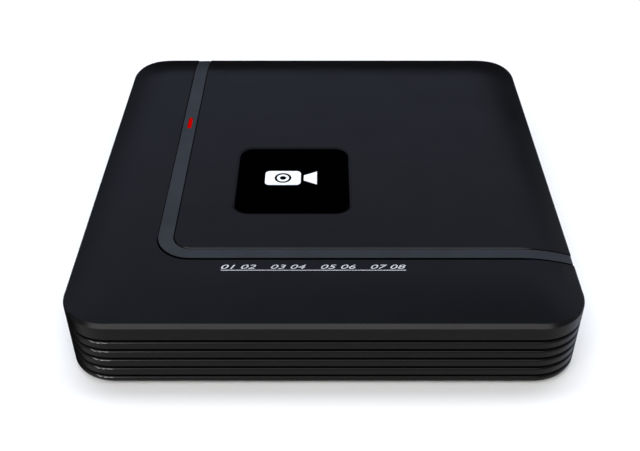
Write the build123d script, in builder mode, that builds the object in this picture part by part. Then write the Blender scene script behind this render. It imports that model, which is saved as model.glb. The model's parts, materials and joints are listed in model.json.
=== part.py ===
"""Desktop video recorder: a two-shell plastic case with the main board, disk drive, fan and rear jacks."""

from build123d import *
import os
from math import atan2, cos, degrees, pi, radians, sin

os.makedirs("parts", exist_ok=True)

# ---------------------------------------------------------------- driving dimensions (mm)
# X runs to the right, the ribbed front faces -Y, the jacks face +Y, and the feet stand on Z = 0.
case_width = 240.0
case_depth = 246.8
case_corner = 22.8
jack_reach = 11.6
case_y = -jack_reach / 2
front_y = case_y - case_depth / 2
rear_y = case_y + case_depth / 2

# heights, from the table up
case_bottom = 2.8
floor_top = 4.8
skirt_bottom = 30.4
wall_top = 37.2
dome_rise = 4.3
case_top = wall_top + dome_rise

# the crowned top: how far in from each edge the surface starts to fall, and what is left of its rise
side_fall = 27.5
rear_fall = 27.5
front_fall = 33.0
front_left = 0.30
dome_margin = 2.0
rim_round = 0.8

# the bevel along the front edge, which stops part of the way round both front corners
bevel_depth = 1.84
bevel_height = 1.6
bevel_end_angle = 36.0

# walls of the two shells
upper_wall = 2.1
upper_skin = 2.6
lower_wall = 3.2
groove_depth = 1.9
groove_height = 1.9
groove_pitch = 5.65
groove_count = 5
rib_round = 0.9
lip_inset = 2.2
lip_height = 2.0

# L-shaped trim strip in a channel of the top
strip_width = 7.4
strip_gap = 0.4
strip_x = -77.65
strip_y = case_y - 76.85
strip_bend = 13.6
strip_front_gap = 1.44
strip_sunk = 0.35
channel_sunk = 1.6
panel_chamfer = 0.4

# glossy badge, lying a little below the top inside a dished margin
badge_x = -16.3
badge_y = case_y - 15.6
badge_width = 59.2
badge_depth = 58.2
badge_corner = 7.6
badge_thickness = 1.0
badge_sunk = 0.4
badge_gap = 0.15
badge_edge_round = 0.3
dish_margin = 1.4
dish_depth = 0.5

# status window in the strip
led_y = case_y + 40.7
window_length = 10.9
window_width = 1.8
window_gap = 0.3

# case screws and feet
boss_x = 104.0
boss_inset = 20.0
boss_radius = 4.0
post_radius = 4.5
post_top = 14.0
case_screw_radius = 1.45
foot_radius = 7.0
foot_x = 84.0
foot_inset = 27.0
foot_recess = 0.6

# main board
board_bottom = 9.4
board_top = 11.0
board_front = 25.0
board_rear = 112.8
board_half_width = 90.0
board_hole_x = 86.0
board_hole_rows = (30.0, 93.0)

# rear panel and jacks: the panel's two faces, then each jack's place along X
panel_inner = 113.3
panel_outer = 114.3
panel_half_width = 94.0
panel_top = 33.5
opening_half_width = 90.0
opening_bottom = 9.4
bnc_places = (81.0, 65.0, 49.0, 33.0)
bnc_z = 19.4
rca_places = (19.5, 7.5)
rca_z = 18.2
vga_x = -14.5
vga_z = 18.6
vga_nut_spacing = 24.99
hdmi_x = -39.0
lan_x = -55.5
usb_x = -71.0
dc_x = -84.0

# 3.5 inch disk drive, lying crosswise behind the front wall with its sockets to the left
drive_length = 147.0
drive_width = 101.6
drive_left = -54.0
drive_right = drive_left + drive_length
drive_front = front_y + 8.2
drive_rear = drive_front + drive_width
drive_mid = (drive_front + drive_rear) / 2
drive_bottom = 8.0
drive_top = drive_bottom + 26.1
drive_socket_z = 13.6
drive_hole_offsets = (41.28, 117.48)
drive_hole_spread = 95.25

# spindle, platters and head arm inside the drive
spindle_x = drive_right - 53.0
platter_radius = 47.5
platter_levels = (19.6, 26.0)
platter_thickness = 1.27
pivot_x = spindle_x - 62.0
pivot_y = drive_mid - 12.0
arm_length = 50.0
arm_levels = (17.2, 22.6, 28.6)
arm_park_angle = degrees(atan2(drive_mid - pivot_y, spindle_x - pivot_x)) + 50.0

# heatsink and fan over the main processor
cooler_x = -18.0
cooler_y = 64.0
chip_height = 1.6
heatsink_size = 38.0
heatsink_height = 9.0
fan_size = 40.0
fan_height = 10.0
fan_bottom = board_top + chip_height + heatsink_height + 0.2

SIT = (Align.CENTER, Align.CENTER, Align.MIN)


def case_plane(z):
    """Level plane at height z, centred on the case."""
    return Plane((0, case_y, z))


def facing_back(y):
    """Upright plane at depth y: its sketches read as (x, z), and a negative extrusion runs to the rear."""
    return Plane.XZ.offset(-y)


def case_outline(inset):
    """The case's rounded plan, set in by inset."""
    RectangleRounded(case_width - 2 * inset, case_depth - 2 * inset, case_corner - inset)


def four_corners(x, inset):
    """Four places at +-x, inset from the front and rear walls."""
    return [(side * x, y) for side in (-1, 1) for y in (front_y + inset, rear_y - inset)]


def save(part, name):
    """Label the finished piece and write it."""
    part.label = name
    export_step(part, f"parts/{name}.step")


# ---------------------------------------------------------------- the crowned top surface
# Its rise is dome_rise times one profile across and one along. Each profile is level in the middle and
# falls away as a parabola, so three Bezier spans each way describe the surface exactly.


def fall_to(reach, left):
    """Profile value just past the wall, for a parabola that has left of its rise at the wall."""
    t = (reach + dome_margin) / reach
    return 1 - (1 - left) * t * t


def spans(half, low_reach, low_left, high_reach, high_left):
    """The three spans of one profile, as (place, value) control values."""
    low, high = -half - dome_margin, half + dome_margin
    flat_low, flat_high = -half + low_reach, half - high_reach
    return (
        ((low, fall_to(low_reach, low_left)), ((low + flat_low) / 2, 1), (flat_low, 1)),
        ((flat_low, 1), ((flat_low + flat_high) / 2, 1), (flat_high, 1)),
        ((flat_high, 1), ((flat_high + high) / 2, 1), (high, fall_to(high_reach, high_left))),
    )


def dome_patch(across, along):
    """One patch of the top surface."""
    rows = [[(x, case_y + y, wall_top + dome_rise * gx * gy) for y, gy in along] for x, gx in across]
    return Face.make_bezier_surface(rows)


patches = [
    dome_patch(across, along)
    for across in spans(case_width / 2, side_fall, 0, side_fall, 0)
    for along in spans(case_depth / 2, front_fall, front_left, rear_fall, 0)
]
columns = [Solid.extrude(patch, Vector(0, 0, -30)) for patch in patches]

with BuildPart() as dome:
    for column in columns:
        add(column)


def dome_lowered(drop):
    """Everything under the top surface, moved down by drop."""
    return Pos(0, 0, -drop) * dome.part


# ---------------------------------------------------------------- upper case
upper_ceiling = dome_lowered(upper_skin)
channel_floor = dome_lowered(channel_sunk)

with BuildPart() as upper_hollow:
    with BuildSketch(case_plane(skirt_bottom)):
        case_outline(upper_wall)
    extrude(amount=case_top - skirt_bottom)
    add(upper_ceiling, mode=Mode.INTERSECT)

# the bevel takes everything outside a tapered block, but only in front of the two corner radii
bevel_lean = degrees(atan2(bevel_depth, bevel_height))
corner_x = case_width / 2 - case_corner
corner_y = -(case_depth / 2 - case_corner)
ray_x = corner_x + 60 * cos(radians(bevel_end_angle))
ray_y = corner_y - 60 * sin(radians(bevel_end_angle))

with BuildPart() as bevel_keep:
    with BuildSketch(case_plane(wall_top)):
        case_outline(0)
    extrude(amount=dome_rise, taper=bevel_lean)

with BuildPart() as bevel_cut:
    with BuildSketch(case_plane(wall_top)):
        Polygon(
            (-corner_x, corner_y),
            (-ray_x, ray_y),
            (-ray_x, ray_y - 30),
            (ray_x, ray_y - 30),
            (ray_x, ray_y),
            (corner_x, corner_y),
            align=None,
        )
    extrude(amount=dome_rise - 0.1)
    add(bevel_keep.part, mode=Mode.SUBTRACT)


def strip_path(back=0.0):
    """Centre line of the channel: down from the rear edge, round the bend, out to the right edge."""
    FilletPolyline(
        (strip_x, rear_y + dome_margin),
        (strip_x, strip_y + back),
        (case_width / 2 + dome_margin, strip_y + back),
        radius=strip_bend,
    )


channel_width = strip_width + 2 * strip_gap

with BuildPart() as channel:
    with BuildSketch(Plane.XY.offset(skirt_bottom + 2)):
        with BuildLine():
            strip_path()
        trace(line_width=channel_width)
    extrude(amount=case_top - skirt_bottom)
    add(channel_floor, mode=Mode.SUBTRACT)

# a fine 45 degree edge on the large panel that the strip frames
with BuildPart() as channel_edge:
    with BuildSketch(Plane.XY.offset(case_top - panel_chamfer)):
        with BuildLine():
            strip_path()
        trace(line_width=channel_width)
    extrude(amount=panel_chamfer, taper=-45)

# the badge's dished margin: a shallow slope down to the plate's seat
with BuildPart() as badge_dish:
    with BuildSketch(Plane((badge_x, badge_y, case_top + dish_depth))):
        RectangleRounded(
            badge_width + 2 * dish_margin, badge_depth + 2 * dish_margin, badge_corner + dish_margin
        )
    extrude(amount=-2 * dish_depth)
    dish_floor = badge_dish.faces().sort_by(Axis.Z)[0]
    chamfer(dish_floor.edges(), dish_margin, dish_depth, reference=dish_floor)


def on_outline(edge):
    """True for an edge where the top surface meets the outer wall."""
    middle = edge @ 0.5
    dx = max(abs(middle.X) - corner_x, 0)
    dy = max(abs(middle.Y - case_y) + corner_y, 0)
    outer = (dx * dx + dy * dy) ** 0.5
    return middle.Z > wall_top - 0.1 and abs(outer - case_corner) < 0.2


with BuildPart() as upper_case:
    with BuildSketch(case_plane(skirt_bottom)):
        case_outline(0)
    extrude(amount=case_top - skirt_bottom + 1)
    add(dome.part, mode=Mode.INTERSECT)
    fillet(upper_case.edges().filter_by(on_outline), rim_round)
    add(bevel_cut.part, mode=Mode.SUBTRACT)
    add(upper_hollow.part, mode=Mode.SUBTRACT)
    add(channel.part, mode=Mode.SUBTRACT)
    add(channel_edge.part, mode=Mode.SUBTRACT)
    add(badge_dish.part, mode=Mode.SUBTRACT)
    # seat for the badge
    with BuildSketch(Plane((badge_x, badge_y, case_top))):
        RectangleRounded(badge_width + 2 * badge_gap, badge_depth + 2 * badge_gap, badge_corner + badge_gap)
    extrude(amount=-badge_sunk - badge_thickness, mode=Mode.SUBTRACT)
    # slot for the light pipe
    with BuildSketch(Plane((strip_x, led_y, case_top))):
        SlotOverall(window_length + 2 * window_gap, window_width + 2 * window_gap, rotation=90)
    extrude(amount=-2 * upper_skin, mode=Mode.SUBTRACT)
    # screw bosses, blind from below
    with BuildSketch(Plane.XY.offset(post_top + 0.2)):
        with Locations(*four_corners(boss_x, boss_inset)):
            Circle(boss_radius)
    extrude(amount=wall_top - post_top)
    with BuildSketch(Plane.XY.offset(post_top + 0.2)):
        with Locations(*four_corners(boss_x, boss_inset)):
            Circle(case_screw_radius + 0.05)
    extrude(amount=13, mode=Mode.SUBTRACT)
save(upper_case.part, "upper_case")

# ---------------------------------------------------------------- trim strip, badge and light pipe
strip_top = dome_lowered(strip_sunk)

with BuildPart() as trim_strip:
    with BuildSketch(Plane.XY.offset(skirt_bottom + 2)):
        with BuildLine():
            strip_path()
        trace(line_width=strip_width)
    extrude(amount=case_top - skirt_bottom)
    # the front edge stands further back, which leaves a wider seam in front of the strip and round its bend
    with BuildSketch(Plane.XY.offset(skirt_bottom + 2)):
        with BuildLine():
            strip_path(strip_front_gap - strip_gap)
        trace(line_width=strip_width)
    extrude(amount=case_top - skirt_bottom, mode=Mode.INTERSECT)
    add(strip_top, mode=Mode.INTERSECT)
    add(channel_floor, mode=Mode.SUBTRACT)
    with BuildSketch(case_plane(skirt_bottom)):
        case_outline(0.4)
    extrude(amount=case_top, mode=Mode.INTERSECT)
    with BuildSketch(Plane((strip_x, led_y, case_top))):
        SlotOverall(window_length + 2 * window_gap, window_width + 2 * window_gap, rotation=90)
    extrude(amount=-2 * upper_skin, mode=Mode.SUBTRACT)
save(trim_strip.part, "trim_strip")

with BuildPart() as badge_plate:
    with BuildSketch(Plane((badge_x, badge_y, case_top - badge_sunk))):
        RectangleRounded(badge_width, badge_depth, badge_corner)
    extrude(amount=-badge_thickness)
    fillet(badge_plate.edges().group_by(Axis.Z)[-1], badge_edge_round)
save(badge_plate.part, "badge_plate")

pipe_flange = case_top - upper_skin

with BuildPart() as led_light_pipe:
    with BuildSketch(Plane((strip_x, led_y, pipe_flange))):
        SlotOverall(window_length, window_width, rotation=90)
    extrude(amount=upper_skin - strip_sunk)
    with BuildSketch(Plane((strip_x, led_y, pipe_flange))):
        SlotOverall(window_length + 4, window_width + 3, rotation=90)
    extrude(amount=-1.2)
    with BuildSketch(Plane((strip_x, led_y, pipe_flange))):
        SlotOverall(5.0, window_width, rotation=90)
    extrude(amount=board_top + 2.2 - pipe_flange)
save(led_light_pipe.part, "led_light_pipe")

# ---------------------------------------------------------------- lower case
drive_holes = [
    (drive_left + offset, drive_mid + side * drive_hole_spread / 2)
    for offset in drive_hole_offsets
    for side in (-1, 1)
]
board_holes = [(side * board_hole_x, y) for side in (-1, 1) for y in board_hole_rows]


def rib(low, high, lower_round):
    """One rib of the skirt: a full-size slab with a rounded upper edge."""
    with BuildPart() as slab:
        with BuildSketch(case_plane(low)):
            case_outline(0)
        extrude(amount=high - low)
        fillet(slab.edges().group_by(Axis.Z)[-1], rib_round)
        if lower_round:
            fillet(slab.edges().group_by(Axis.Z)[0], lower_round)
    return slab.part


rib_tops = [skirt_bottom - groove_height - index * groove_pitch for index in range(groove_count)]
rib_bottoms = [top - groove_pitch + groove_height for top in rib_tops[:-1]] + [case_bottom]
ribs = [rib(low, high, 1.2 if low == case_bottom else 0) for low, high in zip(rib_bottoms, rib_tops)]

with BuildPart() as lower_case:
    with BuildSketch(case_plane(case_bottom)):
        case_outline(groove_depth)
    extrude(amount=skirt_bottom - case_bottom)
    for slab in ribs:
        add(slab)
    with BuildSketch(case_plane(skirt_bottom)):
        case_outline(lip_inset)
    extrude(amount=lip_height)
    with BuildSketch(case_plane(floor_top)):
        case_outline(lower_wall)
    extrude(amount=case_top, mode=Mode.SUBTRACT)
    # opening for the jacks
    with BuildSketch(facing_back(panel_outer)):
        with Locations((0, opening_bottom)):
            Rectangle(2 * opening_half_width, 30, align=(Align.CENTER, Align.MIN))
    extrude(amount=-5, mode=Mode.SUBTRACT)
    # guides that hold the rear panel against the wall
    with BuildSketch(Plane.XY.offset(floor_top)):
        for side in (-1, 1):
            with Locations((side * (panel_half_width + 0.5), panel_inner - 1.1)):
                Rectangle(4, 2)
    extrude(amount=22)
    # posts for the case screws, the board and the drive
    with BuildSketch(Plane.XY.offset(floor_top)):
        with Locations(*four_corners(boss_x, boss_inset)):
            Circle(post_radius)
    extrude(amount=post_top - floor_top)
    with BuildSketch(Plane.XY.offset(floor_top)):
        with Locations(*board_holes):
            Circle(3.2)
    extrude(amount=board_bottom - floor_top)
    with BuildSketch(Plane.XY.offset(floor_top)):
        with Locations(*drive_holes):
            Circle(5.0)
    extrude(amount=drive_bottom - floor_top)
    # their holes: through for the case and drive screws, blind for the board screws
    with BuildSketch(Plane.XY):
        with Locations(*four_corners(boss_x, boss_inset)):
            Circle(1.7)
        with Locations(*drive_holes):
            Circle(2.0)
    extrude(amount=post_top + 1, mode=Mode.SUBTRACT)
    with BuildSketch(Plane.XY):
        with Locations(*four_corners(boss_x, boss_inset)):
            Circle(3.1)
    extrude(amount=6.0, mode=Mode.SUBTRACT)
    with BuildSketch(Plane.XY):
        with Locations(*drive_holes):
            Circle(3.4)
    extrude(amount=5.0, mode=Mode.SUBTRACT)
    with BuildSketch(Plane.XY.offset(board_bottom)):
        with Locations(*board_holes):
            Circle(1.3)
    extrude(amount=-4.4, mode=Mode.SUBTRACT)
    # air slots under the processor and at the drive's right, and seats for the feet
    with BuildSketch(Plane.XY):
        with Locations((cooler_x, cooler_y)):
            with GridLocations(6.0, 0, 9, 1):
                SlotOverall(36, 2.4, rotation=90)
        with Locations((20, drive_mid)):
            with GridLocations(6.0, 44, 11, 2):
                SlotOverall(34, 2.4, rotation=90)
    extrude(amount=floor_top + 0.5, mode=Mode.SUBTRACT)
    with BuildSketch(Plane.XY):
        with Locations(*four_corners(foot_x, foot_inset)):
            Circle(foot_radius + 0.1)
    extrude(amount=case_bottom + foot_recess, mode=Mode.SUBTRACT)
save(lower_case.part, "lower_case")

with BuildPart() as rubber_feet:
    with BuildSketch(Plane.XY):
        with Locations(*four_corners(foot_x, foot_inset)):
            Circle(foot_radius)
    extrude(amount=case_bottom + foot_recess)
    fillet(rubber_feet.edges().group_by(Axis.Z)[0], 0.8)
save(rubber_feet.part, "rubber_feet")


def screws(places, seat, head_radius, head_height, shank_radius, shank_length, pointing=1):
    """Pan-head screws on one level: each head rests at seat, and its shank runs up or down from there."""
    with BuildPart() as group:
        with BuildSketch(Plane.XY.offset(seat)):
            with Locations(*places):
                Circle(head_radius)
        extrude(amount=-pointing * head_height)
        with BuildSketch(Plane.XY.offset(seat)):
            with Locations(*places):
                Circle(shank_radius)
        extrude(amount=pointing * shank_length)
        outer = group.edges().group_by(Axis.Z)[0 if pointing > 0 else -1]
        fillet(outer, head_height * 0.4)
        # cross recess
        with BuildSketch(Plane.XY.offset(seat - pointing * head_height)):
            with Locations(*places):
                Rectangle(head_radius * 1.1, head_radius * 0.3)
                Rectangle(head_radius * 0.3, head_radius * 1.1)
        extrude(amount=pointing * head_height * 0.6, mode=Mode.SUBTRACT)
    return group.part


save(screws(four_corners(boss_x, boss_inset), 6.0, 2.8, 1.9, case_screw_radius, 18.0), "case_screws")
save(screws(board_holes, board_top, 2.6, 1.7, 1.25, 5.2, -1), "board_screws")
save(screws(drive_holes, 5.0, 3.1, 1.6, 1.7, 7.2), "drive_mounting_screws")

# ---------------------------------------------------------------- rear panel
jack_bottom = board_top + 0.1
usb_height = 15.6
usb_width = 13.2
lan_width = 16.0
lan_height = 13.4
hdmi_width = 15.0
hdmi_height = 5.6
dc_width = 9.0
dc_height = 11.0


def d_shape(width, height):
    """The D of a VGA shell, wider at the top."""
    half, lower, rise = width / 2, width / 2 - 1.4, height / 2
    with BuildSketch() as outline:
        with BuildLine():
            FilletPolyline((-half, rise), (-lower, -rise), (lower, -rise), (half, rise), radius=1.8, close=True)
        make_face()
    return outline.sketch


d_outer = d_shape(17.2, 8.6)
d_inner = d_shape(16.0, 7.4)

with BuildPart() as rear_panel:
    with BuildSketch(facing_back(panel_inner)):
        with Locations((0, 5.0)):
            Rectangle(2 * panel_half_width, panel_top - 5.0, align=(Align.CENTER, Align.MIN))
        with Locations(*[(x, bnc_z) for x in bnc_places]):
            Circle(6.6, mode=Mode.SUBTRACT)
        with Locations(*[(x, rca_z) for x in rca_places]):
            Circle(4.5, mode=Mode.SUBTRACT)
        with Locations(*[(vga_x + side * vga_nut_spacing / 2, vga_z) for side in (-1, 1)]):
            Circle(1.9, mode=Mode.SUBTRACT)
        with Locations((vga_x, vga_z)):
            Rectangle(18.4, 9.8, mode=Mode.SUBTRACT)
        for x, width, height in (
            (hdmi_x, hdmi_width, hdmi_height),
            (lan_x, lan_width, lan_height),
            (usb_x, usb_width, usb_height),
            (dc_x, dc_width, dc_height),
        ):
            with Locations((x, jack_bottom - 0.3)):
                Rectangle(width + 0.6, height + 0.6, align=(Align.CENTER, Align.MIN), mode=Mode.SUBTRACT)
        # rows of small air holes over the low jacks
        with Locations((-2.0, 29.0)):
            with GridLocations(3.4, 0, 22, 1):
                Circle(0.9, mode=Mode.SUBTRACT)
    extrude(amount=-(panel_outer - panel_inner))
save(rear_panel.part, "rear_panel")


# ---------------------------------------------------------------- video jacks (BNC)
bnc_base_front = 101.0
bnc_end = rear_y + jack_reach
bnc_bore = 4.05
bnc_centres = [(x, bnc_z) for x in bnc_places]

with BuildPart() as bnc_shells:
    # square base block on the board, threaded collar through the panel, hexagon nut, then the barrel
    with BuildSketch(facing_back(bnc_base_front)):
        with Locations(*[(x, board_top) for x in bnc_places]):
            Rectangle(14.0, 15.4, align=(Align.CENTER, Align.MIN))
    extrude(amount=-(panel_inner - 0.1 - bnc_base_front))
    with BuildSketch(facing_back(panel_inner - 0.1)):
        with Locations(*bnc_centres):
            Circle(6.35)
    extrude(amount=-(rear_y - panel_inner))
    with BuildSketch(facing_back(rear_y - 0.1)):
        with Locations(*bnc_centres):
            Circle(4.85)
    extrude(amount=-(bnc_end - rear_y + 0.1))
    with BuildSketch(facing_back(bnc_end - 4.6)):
        with Locations(*bnc_centres):
            Rectangle(11.4, 2.0)
    extrude(amount=-2.0)
    fillet(bnc_shells.faces().sort_by(Axis.Y)[-4:].edges(), 0.4)
    with BuildSketch(facing_back(bnc_end)):
        with Locations(*bnc_centres):
            Circle(bnc_bore)
    extrude(amount=9.5, mode=Mode.SUBTRACT)
save(bnc_shells.part, "bnc_shells")

with BuildPart() as bnc_nuts:
    with BuildSketch(facing_back(panel_outer + 0.05)):
        with Locations(*bnc_centres):
            RegularPolygon(7.9, 6)
    extrude(amount=-2.3)
    with BuildSketch(facing_back(panel_outer)):
        with Locations(*bnc_centres):
            Circle(6.4)
    extrude(amount=-3, mode=Mode.SUBTRACT)
save(bnc_nuts.part, "bnc_nuts")

with BuildPart() as bnc_insulators:
    with BuildSketch(facing_back(bnc_end - 9.5)):
        with Locations(*bnc_centres):
            Circle(bnc_bore)
    extrude(amount=-2.0)
    with BuildSketch(facing_back(bnc_end - 7.5)):
        with Locations(*bnc_centres):
            Circle(2.4)
    extrude(amount=-6.0)
    with BuildSketch(facing_back(bnc_end)):
        with Locations(*bnc_centres):
            Circle(1.1)
    extrude(amount=9.5, mode=Mode.SUBTRACT)
save(bnc_insulators.part, "bnc_insulators")

with BuildPart() as bnc_contacts:
    with BuildSketch(facing_back(bnc_end - 9.5)):
        with Locations(*bnc_centres):
            Circle(1.1)
    extrude(amount=-7.8)
    with BuildSketch(facing_back(bnc_end - 1.7)):
        with Locations(*bnc_centres):
            Circle(0.68)
    extrude(amount=6.0, mode=Mode.SUBTRACT)
save(bnc_contacts.part, "bnc_contacts")

# ---------------------------------------------------------------- audio jacks (RCA)
rca_front = 103.0
rca_body_end = panel_inner - 0.1
rca_end = rca_body_end + 10.6
rca_radius = 4.15
rca_bore = 3.6
rca_collar_height = 1.2
rca_shoulder = panel_outer + 0.05 + rca_collar_height
rca_centres = [(x, rca_z) for x in rca_places]

with BuildPart() as rca_bodies:
    with BuildSketch(facing_back(rca_front)):
        with Locations(*[(x, board_top) for x in rca_places]):
            Rectangle(10.0, 12.6, align=(Align.CENTER, Align.MIN))
    extrude(amount=-(rca_body_end - rca_front))
    with BuildSketch(facing_back(rca_body_end)):
        with Locations(*rca_centres):
            Circle(rca_bore)
    extrude(amount=-9.2)
    with BuildSketch(facing_back(rca_body_end + 9.2)):
        with Locations(*rca_centres):
            Circle(1.6)
    extrude(amount=12.0, mode=Mode.SUBTRACT)
save(rca_bodies.part, "rca_bodies")

with BuildPart() as rca_shells:
    # a shoulder through the panel and the collar, then the barrel that takes the plug
    for start, end, radius in ((rca_body_end, rca_shoulder, 4.4), (rca_shoulder, rca_end, rca_radius)):
        with BuildSketch(facing_back(start)):
            with Locations(*rca_centres):
                Circle(radius)
        extrude(amount=-(end - start))
    with BuildSketch(facing_back(rca_body_end)):
        with Locations(*rca_centres):
            Circle(rca_bore)
    extrude(amount=-(rca_end - rca_body_end), mode=Mode.SUBTRACT)
save(rca_shells.part, "rca_shells")

with BuildPart() as rca_collars:
    with BuildSketch(facing_back(rca_shoulder - rca_collar_height)):
        with Locations(*rca_centres):
            Circle(5.3)
            Circle(4.45, mode=Mode.SUBTRACT)
    extrude(amount=-rca_collar_height)
save(rca_collars.part, "rca_collars")

# ---------------------------------------------------------------- VGA port
vga_body_front = 102.5
vga_end = panel_outer + 5.8
vga_nut_places = [(vga_x + side * vga_nut_spacing / 2, vga_z) for side in (-1, 1)]

with BuildPart() as vga_insulator:
    with BuildSketch(facing_back(vga_body_front)):
        with Locations((vga_x, board_top)):
            Rectangle(30.8, 14.0, align=(Align.CENTER, Align.MIN))
        with Locations(*vga_nut_places):
            Circle(1.7, mode=Mode.SUBTRACT)
    extrude(amount=-9.8)
    with BuildSketch(facing_back(vga_body_front + 9.8)):
        with Locations((vga_x, vga_z)):
            add(d_inner)
    extrude(amount=-(vga_end - 0.6 - vga_body_front - 9.8))
    # three rows of five contacts
    with BuildSketch(facing_back(vga_end - 0.6)):
        with Locations((vga_x, vga_z)):
            with GridLocations(2.29, 1.98, 5, 3):
                Circle(0.5)
    extrude(amount=5.0, mode=Mode.SUBTRACT)
save(vga_insulator.part, "vga_insulator")

with BuildPart() as vga_shell:
    with BuildSketch(facing_back(vga_body_front + 9.8)):
        with Locations((vga_x, vga_z)):
            Rectangle(30.8, 12.5)
        with Locations(*vga_nut_places):
            Circle(1.7, mode=Mode.SUBTRACT)
        with Locations((vga_x, vga_z)):
            add(d_inner)
    extrude(amount=-0.9)
    with BuildSketch(facing_back(vga_body_front + 10.2)):
        with Locations((vga_x, vga_z)):
            add(d_outer)
    extrude(amount=-(vga_end - vga_body_front - 10.2))
    with BuildSketch(facing_back(vga_body_front + 9.8)):
        with Locations((vga_x, vga_z)):
            add(d_inner)
    extrude(amount=-8.0, mode=Mode.SUBTRACT)
save(vga_shell.part, "vga_shell")

with BuildPart() as vga_jack_nuts:
    with BuildSketch(facing_back(panel_outer + 0.05)):
        with Locations(*vga_nut_places):
            RegularPolygon(2.75, 6)
    extrude(amount=-5.0)
    with BuildSketch(facing_back(panel_outer + 0.05)):
        with Locations(*vga_nut_places):
            Circle(1.6)
    extrude(amount=8.0)
    with BuildSketch(facing_back(panel_outer + 5.05)):
        with Locations(*vga_nut_places):
            Circle(1.2)
    extrude(amount=5.0, mode=Mode.SUBTRACT)
save(vga_jack_nuts.part, "vga_jack_nuts")


# ---------------------------------------------------------------- HDMI, LAN, USB and power inputs
def socket_shell(x, width, height, front, end, wall, mouths):
    """A square metal shell on the board, with one or more mouths (x, z, width, height) open to the rear."""
    with BuildPart() as shell:
        with BuildSketch(facing_back(front)):
            with Locations((x, jack_bottom)):
                Rectangle(width, height, align=(Align.CENTER, Align.MIN))
        extrude(amount=-(end - front))
        with BuildSketch(facing_back(end)):
            for mouth_x, mouth_z, mouth_width, mouth_height in mouths:
                with Locations((mouth_x, mouth_z)):
                    RectangleRounded(mouth_width, mouth_height, 0.4)
        extrude(amount=end - front - wall, mode=Mode.SUBTRACT)
    return shell.part


hdmi_z = jack_bottom + hdmi_height / 2
hdmi_end = panel_outer + 1.0
hdmi_mouths = [(hdmi_x, hdmi_z, hdmi_width - 0.9, hdmi_height - 0.9)]
save(socket_shell(hdmi_x, hdmi_width, hdmi_height, 104.0, hdmi_end, 1.5, hdmi_mouths), "hdmi_shell")

with BuildPart() as hdmi_tongue:
    with BuildSketch(facing_back(105.5)):
        with Locations((hdmi_x, hdmi_z + 0.4)):
            Rectangle(11.6, 1.3)
    extrude(amount=-8.6)
save(hdmi_tongue.part, "hdmi_tongue")

lan_end = panel_outer + 1.0
lan_mouth_z = jack_bottom + 5.0
lan_mouths = [(lan_x, lan_mouth_z, 11.9, 6.9), (lan_x, lan_mouth_z + 4.2, 6.4, 3.6)]
save(socket_shell(lan_x, lan_width, lan_height, 98.0, lan_end, 2.5, lan_mouths), "lan_port")

with BuildPart() as lan_contacts:
    with BuildSketch(facing_back(100.5)):
        with Locations((lan_x, lan_mouth_z - 2.9)):
            with GridLocations(1.02, 0, 8, 1):
                Rectangle(0.45, 0.5)
    extrude(amount=-11.0)
save(lan_contacts.part, "lan_contacts")

usb_end = panel_outer + 1.2
usb_levels = (jack_bottom + 3.9, jack_bottom + 11.7)
usb_mouths = [(usb_x, z, 12.3, 5.2) for z in usb_levels]
save(socket_shell(usb_x, usb_width, usb_height, 99.0, usb_end, 1.5, usb_mouths), "usb_port")

with BuildPart() as usb_tongues:
    with BuildSketch(facing_back(100.5)):
        with Locations(*[(usb_x, z + 0.9) for z in usb_levels]):
            Rectangle(11.2, 1.9)
    extrude(amount=-13.0)
save(usb_tongues.part, "usb_tongues")

dc_front = 99.5
dc_end = panel_outer + 1.4
dc_z = jack_bottom + 6.4

with BuildPart() as dc_jack_body:
    with BuildSketch(facing_back(dc_front)):
        with Locations((dc_x, jack_bottom)):
            Rectangle(dc_width, dc_height, align=(Align.CENTER, Align.MIN))
    extrude(amount=-(dc_end - dc_front))
    with BuildSketch(facing_back(dc_end)):
        with Locations((dc_x, dc_z)):
            Circle(3.1)
    extrude(amount=11.0, mode=Mode.SUBTRACT)
save(dc_jack_body.part, "dc_jack_body")

with BuildPart() as dc_jack_pin:
    with BuildSketch(facing_back(dc_end - 11.0)):
        with Locations((dc_x, dc_z)):
            Circle(1.05)
    extrude(amount=-9.8)
    fillet(dc_jack_pin.faces().sort_by(Axis.Y)[-1].edges(), 0.5)
save(dc_jack_pin.part, "dc_jack_pin")

# ---------------------------------------------------------------- main board
chip_places = [(52.0, 66.0), (76.0, 66.0)]
memory_places = [(12.0 + 15.0 * column, 52.0 + 14.0 * row) for column in range(2) for row in range(2)]
capacitor_places = [(-80.0, 88.0), (-70.0, 88.0), (-80.0, 77.0), (-50.0, 40.0), (-38.0, 38.0), (4.0, 92.0)]
inductor_places = [(-60.0, 74.0), (-60.0, 59.0), (-76.0, 62.0)]
crystal_places = [(32.0, 84.0), (-44.0, 78.0), (62.0, 84.0)]
header_places = [(14.0, 30.0), (40.0, 30.0)]
sata_socket_x = -66.0
power_header_x = -48.0
coin_x = 74.0
coin_y = 42.0
buzzer_place = (48.0, 44.0)

with BuildPart() as main_board:
    with BuildSketch(Plane.XY.offset(board_bottom)):
        with Locations((0, (board_front + board_rear) / 2)):
            RectangleRounded(2 * board_half_width, board_rear - board_front, 1.5)
        with Locations(*board_holes):
            Circle(1.6, mode=Mode.SUBTRACT)
    extrude(amount=board_top - board_bottom)
save(main_board.part, "main_board")


def blocks(places, width, depth, height, bottom, soften=0.0):
    """Equal rectangular components on one level, with their upper edges softened."""
    with BuildPart() as group:
        with BuildSketch(Plane.XY.offset(bottom)):
            with Locations(*places):
                Rectangle(width, depth)
        extrude(amount=height)
        if soften:
            chamfer(group.edges().group_by(Axis.Z)[-1], soften)
    return group.part


def cans(places, radius, height, bottom, soften):
    """Equal round components on one level."""
    with BuildPart() as group:
        with BuildSketch(Plane.XY.offset(bottom)):
            with Locations(*places):
                Circle(radius)
        extrude(amount=height)
        fillet(group.edges().group_by(Axis.Z)[-1], soften)
    return group.part


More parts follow.
